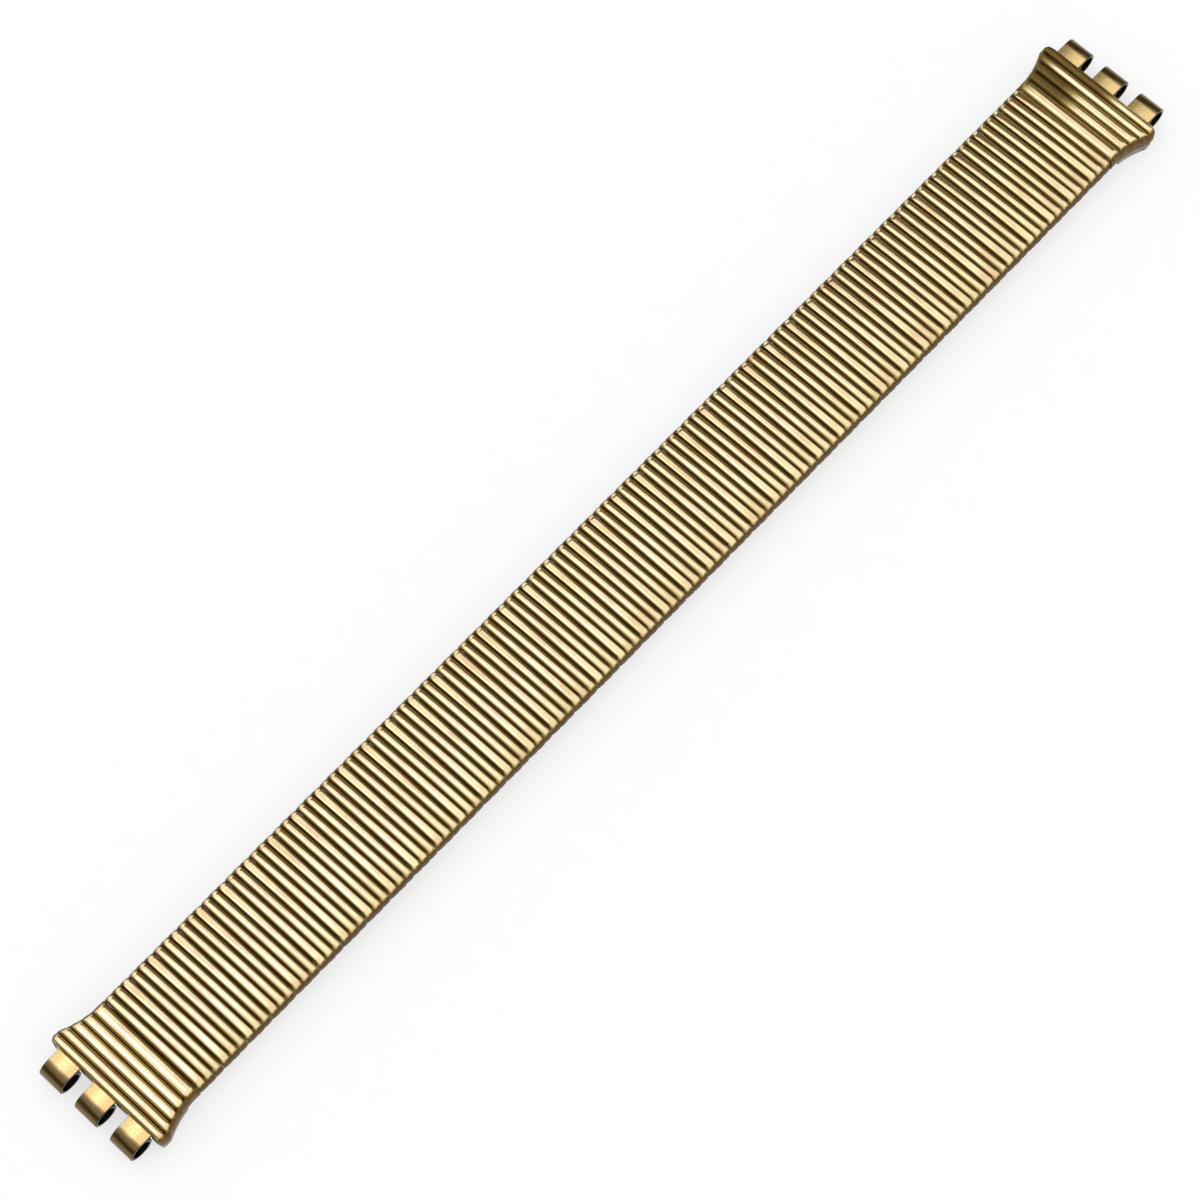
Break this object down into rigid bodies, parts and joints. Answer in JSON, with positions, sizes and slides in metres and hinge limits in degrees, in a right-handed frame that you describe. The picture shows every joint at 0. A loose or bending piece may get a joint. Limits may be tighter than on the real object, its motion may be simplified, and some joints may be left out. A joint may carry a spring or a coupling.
{
  "type": "expansion watch band",
  "caption": "Expansion watch band: ridged shells over two staggered rows of sprung sleeves tied by wire staples, with flared ends and rolled bar lugs.",
  "frame": {"origin": "middle of the band's length and width, on the wrist side of the lower row of sleeves", "axes": "+X along the band towards its right end, +Y across the band, +Z out of the wrist through the ridged shells"},
  "size_m": [0.121, 0.012, 0.0028],
  "materials": {
    "gold_shell": "polished, gold plated",
    "gold_lug": "worn satin, gold plated",
    "bare_steel": "satin",
    "staple_wire": "drawn wire"
  },
  "bodies": {
    "link_21": {"link_21": "gold_shell", "tilting_staples_left": "staple_wire", "tilting_staples_right": "staple_wire"},
    "link_22": {"link_22": "gold_shell"},
    "link_23": {"link_23": "gold_shell"},
    "lower_link_23": {"lower_link_23": "bare_steel"},
    "link_24": {"link_24": "gold_shell"},
    "link_25": {"link_25": "gold_shell"},
    "link_26": {"link_26": "gold_shell"},
    "link_27": {"link_27": "gold_shell"},
    "lower_link_27": {"lower_link_27": "bare_steel"},
    "link_28": {"link_28": "gold_shell"},
    "link_29": {"link_29": "gold_shell"},
    "link_30": {"link_30": "gold_shell"},
    "link_31": {"link_31": "gold_shell"},
    "lower_link_31": {"lower_link_31": "bare_steel"},
    "link_32": {"link_32": "gold_shell"},
    "link_33": {"link_33": "gold_shell"},
    "link_34": {"link_34": "gold_shell"},
    "link_35": {"link_35": "gold_shell"},
    "lower_link_35": {"lower_link_35": "bare_steel"},
    "link_36": {"link_36": "gold_shell"},
    "link_37": {"link_37": "gold_shell"},
    "link_38": {"link_38": "gold_shell"},
    "link_39": {"link_39": "gold_shell"},
    "lower_link_39": {"lower_link_39": "bare_steel"},
    "link_40": {"link_40": "gold_shell"},
    "link_41": {"link_41": "gold_shell"},
    "end_right": {"end_cover_right": "gold_shell", "end_tray_right": "bare_steel", "end_lugs_right": "gold_lug"},
    "link_20": {"link_20": "gold_shell"},
    "link_19": {"link_19": "gold_shell"},
    "lower_link_19": {"lower_link_19": "bare_steel"},
    "link_18": {"link_18": "gold_shell"},
    "link_17": {"link_17": "gold_shell"},
    "link_16": {"link_16": "gold_shell"},
    "link_15": {"link_15": "gold_shell"},
    "lower_link_15": {"lower_link_15": "bare_steel"},
    "link_14": {"link_14": "gold_shell"},
    "link_13": {"link_13": "gold_shell"},
    "link_12": {"link_12": "gold_shell"},
    "link_11": {"link_11": "gold_shell"},
    "lower_link_11": {"lower_link_11": "bare_steel"},
    "link_10": {"link_10": "gold_shell"},
    "link_09": {"link_09": "gold_shell"},
    "link_08": {"link_08": "gold_shell"},
    "link_07": {"link_07": "gold_shell"},
    "lower_link_07": {"lower_link_07": "bare_steel"},
    "link_06": {"link_06": "gold_shell"},
    "link_05": {"link_05": "gold_shell"},
    "link_04": {"link_04": "gold_shell"},
    "link_03": {"link_03": "gold_shell"},
    "lower_link_03": {"lower_link_03": "bare_steel"},
    "link_02": {"link_02": "gold_shell"},
    "link_01": {"link_01": "gold_shell"},
    "end_left": {"end_cover_left": "gold_shell", "end_tray_left": "bare_steel", "end_lugs_left": "gold_lug"}
  },
  "joints": [
    {"name": "stretch_21_right", "type": "slide", "parent": "link_21", "child": "link_22", "axis": [1, 0, 0], "range_m": [0, 0.00119], "stiffness_N_per_m": 10, "deforming": ["tilting_staples_left", "tilting_staples_right"]},
    {"name": "stretch_22_right", "type": "slide", "parent": "link_22", "child": "link_23", "axis": [1, 0, 0], "range_m": [0, 0.00119], "stiffness_N_per_m": 10},
    {"name": "stretch_23_right", "type": "slide", "parent": "link_23", "child": "lower_link_23", "axis": [1, 0, 0], "range_m": [0, 0.00119], "stiffness_N_per_m": 10},
    {"name": "curl_23_right", "type": "hinge", "parent": "lower_link_23", "child": "link_24", "pos_m": [0.0078, 0, 0], "axis": [0, 1, 0], "range_deg": [0, 28]},
    {"name": "stretch_24_right", "type": "slide", "parent": "link_24", "child": "link_25", "axis": [1, 0, 0], "range_m": [0, 0.00119], "stiffness_N_per_m": 10},
    {"name": "stretch_25_right", "type": "slide", "parent": "link_25", "child": "link_26", "axis": [1, 0, 0], "range_m": [0, 0.00119], "stiffness_N_per_m": 10},
    {"name": "stretch_26_right", "type": "slide", "parent": "link_26", "child": "link_27", "axis": [1, 0, 0], "range_m": [0, 0.00119], "stiffness_N_per_m": 10},
    {"name": "stretch_27_right", "type": "slide", "parent": "link_27", "child": "lower_link_27", "axis": [1, 0, 0], "range_m": [0, 0.00119], "stiffness_N_per_m": 10},
    {"name": "curl_27_right", "type": "hinge", "parent": "lower_link_27", "child": "link_28", "pos_m": [0.0182, 0, 0], "axis": [0, 1, 0], "range_deg": [0, 28]},
    {"name": "stretch_28_right", "type": "slide", "parent": "link_28", "child": "link_29", "axis": [1, 0, 0], "range_m": [0, 0.00119], "stiffness_N_per_m": 10},
    {"name": "stretch_29_right", "type": "slide", "parent": "link_29", "child": "link_30", "axis": [1, 0, 0], "range_m": [0, 0.00119], "stiffness_N_per_m": 10},
    {"name": "stretch_30_right", "type": "slide", "parent": "link_30", "child": "link_31", "axis": [1, 0, 0], "range_m": [0, 0.00119], "stiffness_N_per_m": 10},
    {"name": "stretch_31_right", "type": "slide", "parent": "link_31", "child": "lower_link_31", "axis": [1, 0, 0], "range_m": [0, 0.00119], "stiffness_N_per_m": 10},
    {"name": "curl_31_right", "type": "hinge", "parent": "lower_link_31", "child": "link_32", "pos_m": [0.0286, 0, 0], "axis": [0, 1, 0], "range_deg": [0, 28]},
    {"name": "stretch_32_right", "type": "slide", "parent": "link_32", "child": "link_33", "axis": [1, 0, 0], "range_m": [0, 0.00119], "stiffness_N_per_m": 10},
    {"name": "stretch_33_right", "type": "slide", "parent": "link_33", "child": "link_34", "axis": [1, 0, 0], "range_m": [0, 0.00119], "stiffness_N_per_m": 10},
    {"name": "stretch_34_right", "type": "slide", "parent": "link_34", "child": "link_35", "axis": [1, 0, 0], "range_m": [0, 0.00119], "stiffness_N_per_m": 10},
    {"name": "stretch_35_right", "type": "slide", "parent": "link_35", "child": "lower_link_35", "axis": [1, 0, 0], "range_m": [0, 0.00119], "stiffness_N_per_m": 10},
    {"name": "curl_35_right", "type": "hinge", "parent": "lower_link_35", "child": "link_36", "pos_m": [0.039, 0, 0], "axis": [0, 1, 0], "range_deg": [0, 28]},
    {"name": "stretch_36_right", "type": "slide", "parent": "link_36", "child": "link_37", "axis": [1, 0, 0], "range_m": [0, 0.00119], "stiffness_N_per_m": 10},
    {"name": "stretch_37_right", "type": "slide", "parent": "link_37", "child": "link_38", "axis": [1, 0, 0], "range_m": [0, 0.00119], "stiffness_N_per_m": 10},
    {"name": "stretch_38_right", "type": "slide", "parent": "link_38", "child": "link_39", "axis": [1, 0, 0], "range_m": [0, 0.00119], "stiffness_N_per_m": 10},
    {"name": "stretch_39_right", "type": "slide", "parent": "link_39", "child": "lower_link_39", "axis": [1, 0, 0], "range_m": [0, 0.00119], "stiffness_N_per_m": 10},
    {"name": "curl_39_right", "type": "hinge", "parent": "lower_link_39", "child": "link_40", "pos_m": [0.0494, 0, 0], "axis": [0, 1, 0], "range_deg": [0, 28]},
    {"name": "stretch_40_right", "type": "slide", "parent": "link_40", "child": "link_41", "axis": [1, 0, 0], "range_m": [0, 0.00119], "stiffness_N_per_m": 10},
    {"name": "stretch_41_right", "type": "slide", "parent": "link_41", "child": "end_right", "axis": [1, 0, 0], "range_m": [0, 0.00119], "stiffness_N_per_m": 10},
    {"name": "stretch_21_left", "type": "slide", "parent": "link_21", "child": "link_20", "axis": [-1, 0, 0], "range_m": [0, 0.00119], "stiffness_N_per_m": 10},
    {"name": "stretch_20_left", "type": "slide", "parent": "link_20", "child": "link_19", "axis": [-1, 0, 0], "range_m": [0, 0.00119], "stiffness_N_per_m": 10},
    {"name": "stretch_19_left", "type": "slide", "parent": "link_19", "child": "lower_link_19", "axis": [-1, 0, 0], "range_m": [0, 0.00119], "stiffness_N_per_m": 10},
    {"name": "curl_19_left", "type": "hinge", "parent": "lower_link_19", "child": "link_18", "pos_m": [-0.0078, 0, 0], "axis": [0, -1, 0], "range_deg": [0, 28]},
    {"name": "stretch_18_left", "type": "slide", "parent": "link_18", "child": "link_17", "axis": [-1, 0, 0], "range_m": [0, 0.00119], "stiffness_N_per_m": 10},
    {"name": "stretch_17_left", "type": "slide", "parent": "link_17", "child": "link_16", "axis": [-1, 0, 0], "range_m": [0, 0.00119], "stiffness_N_per_m": 10},
    {"name": "stretch_16_left", "type": "slide", "parent": "link_16", "child": "link_15", "axis": [-1, 0, 0], "range_m": [0, 0.00119], "stiffness_N_per_m": 10},
    {"name": "stretch_15_left", "type": "slide", "parent": "link_15", "child": "lower_link_15", "axis": [-1, 0, 0], "range_m": [0, 0.00119], "stiffness_N_per_m": 10},
    {"name": "curl_15_left", "type": "hinge", "parent": "lower_link_15", "child": "link_14", "pos_m": [-0.0182, 0, 0], "axis": [0, -1, 0], "range_deg": [0, 28]},
    {"name": "stretch_14_left", "type": "slide", "parent": "link_14", "child": "link_13", "axis": [-1, 0, 0], "range_m": [0, 0.00119], "stiffness_N_per_m": 10},
    {"name": "stretch_13_left", "type": "slide", "parent": "link_13", "child": "link_12", "axis": [-1, 0, 0], "range_m": [0, 0.00119], "stiffness_N_per_m": 10},
    {"name": "stretch_12_left", "type": "slide", "parent": "link_12", "child": "link_11", "axis": [-1, 0, 0], "range_m": [0, 0.00119], "stiffness_N_per_m": 10},
    {"name": "stretch_11_left", "type": "slide", "parent": "link_11", "child": "lower_link_11", "axis": [-1, 0, 0], "range_m": [0, 0.00119], "stiffness_N_per_m": 10},
    {"name": "curl_11_left", "type": "hinge", "parent": "lower_link_11", "child": "link_10", "pos_m": [-0.0286, 0, 0], "axis": [0, -1, 0], "range_deg": [0, 28]},
    {"name": "stretch_10_left", "type": "slide", "parent": "link_10", "child": "link_09", "axis": [-1, 0, 0], "range_m": [0, 0.00119], "stiffness_N_per_m": 10},
    {"name": "stretch_09_left", "type": "slide", "parent": "link_09", "child": "link_08", "axis": [-1, 0, 0], "range_m": [0, 0.00119], "stiffness_N_per_m": 10},
    {"name": "stretch_08_left", "type": "slide", "parent": "link_08", "child": "link_07", "axis": [-1, 0, 0], "range_m": [0, 0.00119], "stiffness_N_per_m": 10},
    {"name": "stretch_07_left", "type": "slide", "parent": "link_07", "child": "lower_link_07", "axis": [-1, 0, 0], "range_m": [0, 0.00119], "stiffness_N_per_m": 10},
    {"name": "curl_07_left", "type": "hinge", "parent": "lower_link_07", "child": "link_06", "pos_m": [-0.039, 0, 0], "axis": [0, -1, 0], "range_deg": [0, 28]},
    {"name": "stretch_06_left", "type": "slide", "parent": "link_06", "child": "link_05", "axis": [-1, 0, 0], "range_m": [0, 0.00119], "stiffness_N_per_m": 10},
    {"name": "stretch_05_left", "type": "slide", "parent": "link_05", "child": "link_04", "axis": [-1, 0, 0], "range_m": [0, 0.00119], "stiffness_N_per_m": 10},
    {"name": "stretch_04_left", "type": "slide", "parent": "link_04", "child": "link_03", "axis": [-1, 0, 0], "range_m": [0, 0.00119], "stiffness_N_per_m": 10},
    {"name": "stretch_03_left", "type": "slide", "parent": "link_03", "child": "lower_link_03", "axis": [-1, 0, 0], "range_m": [0, 0.00119], "stiffness_N_per_m": 10},
    {"name": "curl_03_left", "type": "hinge", "parent": "lower_link_03", "child": "link_02", "pos_m": [-0.0494, 0, 0], "axis": [0, -1, 0], "range_deg": [0, 28]},
    {"name": "stretch_02_left", "type": "slide", "parent": "link_02", "child": "link_01", "axis": [-1, 0, 0], "range_m": [0, 0.00119], "stiffness_N_per_m": 10},
    {"name": "stretch_01_left", "type": "slide", "parent": "link_01", "child": "end_left", "axis": [-1, 0, 0], "range_m": [0, 0.00119], "stiffness_N_per_m": 10}
  ],
  "couplings": [
    {"joint": "stretch_22_right", "follows": "stretch_21_right", "ratio": 1},
    {"joint": "stretch_23_right", "follows": "stretch_21_right", "ratio": 1},
    {"joint": "stretch_24_right", "follows": "stretch_21_right", "ratio": 1},
    {"joint": "stretch_25_right", "follows": "stretch_21_right", "ratio": 1},
    {"joint": "stretch_26_right", "follows": "stretch_21_right", "ratio": 1},
    {"joint": "stretch_27_right", "follows": "stretch_21_right", "ratio": 1},
    {"joint": "stretch_28_right", "follows": "stretch_21_right", "ratio": 1},
    {"joint": "stretch_29_right", "follows": "stretch_21_right", "ratio": 1},
    {"joint": "stretch_30_right", "follows": "stretch_21_right", "ratio": 1},
    {"joint": "stretch_31_right", "follows": "stretch_21_right", "ratio": 1},
    {"joint": "stretch_32_right", "follows": "stretch_21_right", "ratio": 1},
    {"joint": "stretch_33_right", "follows": "stretch_21_right", "ratio": 1},
    {"joint": "stretch_34_right", "follows": "stretch_21_right", "ratio": 1},
    {"joint": "stretch_35_right", "follows": "stretch_21_right", "ratio": 1},
    {"joint": "stretch_36_right", "follows": "stretch_21_right", "ratio": 1},
    {"joint": "stretch_37_right", "follows": "stretch_21_right", "ratio": 1},
    {"joint": "stretch_38_right", "follows": "stretch_21_right", "ratio": 1},
    {"joint": "stretch_39_right", "follows": "stretch_21_right", "ratio": 1},
    {"joint": "stretch_40_right", "follows": "stretch_21_right", "ratio": 1},
    {"joint": "stretch_41_right", "follows": "stretch_21_right", "ratio": 1},
    {"joint": "stretch_21_left", "follows": "stretch_21_right", "ratio": 1},
    {"joint": "stretch_20_left", "follows": "stretch_21_right", "ratio": 1},
    {"joint": "stretch_19_left", "follows": "stretch_21_right", "ratio": 1},
    {"joint": "stretch_18_left", "follows": "stretch_21_right", "ratio": 1},
    {"joint": "stretch_17_left", "follows": "stretch_21_right", "ratio": 1},
    {"joint": "stretch_16_left", "follows": "stretch_21_right", "ratio": 1},
    {"joint": "stretch_15_left", "follows": "stretch_21_right", "ratio": 1},
    {"joint": "stretch_14_left", "follows": "stretch_21_right", "ratio": 1},
    {"joint": "stretch_13_left", "follows": "stretch_21_right", "ratio": 1},
    {"joint": "stretch_12_left", "follows": "stretch_21_right", "ratio": 1},
    {"joint": "stretch_11_left", "follows": "stretch_21_right", "ratio": 1},
    {"joint": "stretch_10_left", "follows": "stretch_21_right", "ratio": 1},
    {"joint": "stretch_09_left", "follows": "stretch_21_right", "ratio": 1},
    {"joint": "stretch_08_left", "follows": "stretch_21_right", "ratio": 1},
    {"joint": "stretch_07_left", "follows": "stretch_21_right", "ratio": 1},
    {"joint": "stretch_06_left", "follows": "stretch_21_right", "ratio": 1},
    {"joint": "stretch_05_left", "follows": "stretch_21_right", "ratio": 1},
    {"joint": "stretch_04_left", "follows": "stretch_21_right", "ratio": 1},
    {"joint": "stretch_03_left", "follows": "stretch_21_right", "ratio": 1},
    {"joint": "stretch_02_left", "follows": "stretch_21_right", "ratio": 1},
    {"joint": "stretch_01_left", "follows": "stretch_21_right", "ratio": 1},
    {"joint": "curl_27_right", "follows": "curl_23_right", "ratio": 1},
    {"joint": "curl_31_right", "follows": "curl_23_right", "ratio": 1},
    {"joint": "curl_35_right", "follows": "curl_23_right", "ratio": 1},
    {"joint": "curl_39_right", "follows": "curl_23_right", "ratio": 1},
    {"joint": "curl_19_left", "follows": "curl_23_right", "ratio": 1},
    {"joint": "curl_15_left", "follows": "curl_23_right", "ratio": 1},
    {"joint": "curl_11_left", "follows": "curl_23_right", "ratio": 1},
    {"joint": "curl_07_left", "follows": "curl_23_right", "ratio": 1},
    {"joint": "curl_03_left", "follows": "curl_23_right", "ratio": 1}
  ]
}
